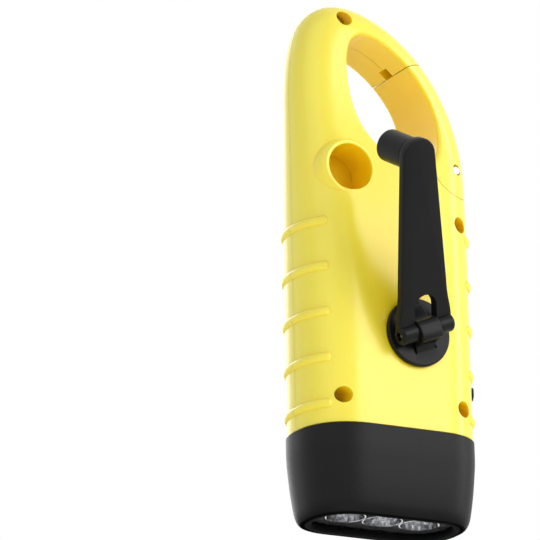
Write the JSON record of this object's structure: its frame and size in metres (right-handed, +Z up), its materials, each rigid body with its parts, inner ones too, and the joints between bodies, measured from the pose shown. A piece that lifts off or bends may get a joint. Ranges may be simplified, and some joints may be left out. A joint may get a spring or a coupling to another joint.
{
  "type": "hand crank flashlight",
  "caption": "Yellow hand crank flashlight with a carabiner hook, a three-light lamp head, a solar panel and a folding crank with a knob.",
  "frame": {"origin": "under the middle of the whole light with its crank lifted, on the flat face that it stands on", "axes": "+Z up from the lamp head to the hook, +Y out of the crank side, -Y out of the solar side, -X the side of the gate and the button"},
  "size_m": [0.049, 0.0604, 0.135],
  "materials": {
    "yellow_shell": "satin moulded plastic, lemon yellow",
    "black_plastic": "matte black plastic with a slight grain",
    "steel": "plain bright steel",
    "clear_lens": "clear polished plastic",
    "silvered": "silvered reflector",
    "led_resin": "clear resin",
    "solar_film": "brown cell with fine pale lines",
    "nylon": "natural nylon",
    "magnet": "dark sintered magnet",
    "copper": "enamelled copper wire",
    "board": "green circuit board",
    "battery_wrap": "plain shrink wrap"
  },
  "bodies": {
    "housing": {"front_shell": "yellow_shell", "back_shell": "yellow_shell", "screw_lower_left": "steel", "screw_lower_right": "steel", "screw_upper": "steel", "screw_hook": "steel", "gate_spring": "steel", "head_cap": "black_plastic", "lens": "clear_lens", "reflector": "silvered", "led_left": "led_resin", "led_centre": "led_resin", "led_right": "led_resin", "led_board": "board", "solar_bezel": "black_plastic", "solar_window": "clear_lens", "solar_cell": "solar_film", "idler_axle_one": "steel", "idler_axle_two": "steel", "stator": "black_plastic", "stator_coil": "copper", "gear_frame": "nylon", "battery": "battery_wrap", "control_board": "board", "switch": "black_plastic"},
    "gate": {"gate": "yellow_shell", "gate_pin": "steel"},
    "button": {"side_button": "black_plastic"},
    "crank": {"crank_hub": "black_plastic", "drive_gear": "nylon"},
    "arm": {"crank_arm": "black_plastic", "hinge_pin": "steel"},
    "knob": {"crank_knob": "black_plastic"},
    "idler_one": {"idler_gear_one": "nylon"},
    "idler_two": {"idler_gear_two": "nylon"},
    "generator_rotor": {"rotor": "magnet"}
  },
  "joints": [
    {"name": "crank_spin", "type": "hinge", "parent": "housing", "child": "crank", "pos_m": [-0.0032, -0.01496, 0.0468], "axis": [0, 1, 0], "continuous": true},
    {"name": "crank_fold", "type": "hinge", "parent": "crank", "child": "arm", "pos_m": [-0.0032, 0.00344, 0.0468], "axis": [-0.9304, 0, 0.3665], "range_deg": [-35.4, 145]},
    {"name": "knob_spin", "type": "hinge", "parent": "arm", "child": "knob", "pos_m": [0.01086, 0.02732, 0.0825], "axis": [-0.1937, 0.849, -0.4917], "continuous": true},
    {"name": "gate_swing", "type": "hinge", "parent": "housing", "child": "gate", "pos_m": [-0.01854, -0.01496, 0.09306], "axis": [0, 1, 0], "range_deg": [0, 28], "stiffness_Nm_per_rad": 0.1, "springref_deg": -11.46},
    {"name": "button_press", "type": "slide", "parent": "housing", "child": "button", "axis": [1, 0, 0], "range_m": [0, 0.0006], "stiffness_N_per_m": 600, "springref_m": -0.0005},
    {"name": "idler_one_spin", "type": "hinge", "parent": "housing", "child": "idler_one", "pos_m": [-0.0108, -0.01496, 0.05996], "axis": [0, 1, 0], "continuous": true},
    {"name": "idler_two_spin", "type": "hinge", "parent": "housing", "child": "idler_two", "pos_m": [0.00259, -0.01496, 0.06232], "axis": [0, 1, 0], "continuous": true},
    {"name": "rotor_spin", "type": "hinge", "parent": "housing", "child": "generator_rotor", "pos_m": [0.0076, -0.01496, 0.05054], "axis": [0, 1, 0], "continuous": true}
  ],
  "couplings": [
    {"joint": "idler_one_spin", "follows": "crank_spin", "ratio": -2.8},
    {"joint": "idler_two_spin", "follows": "crank_spin", "ratio": 6.72},
    {"joint": "rotor_spin", "follows": "crank_spin", "ratio": -14.784}
  ]
}
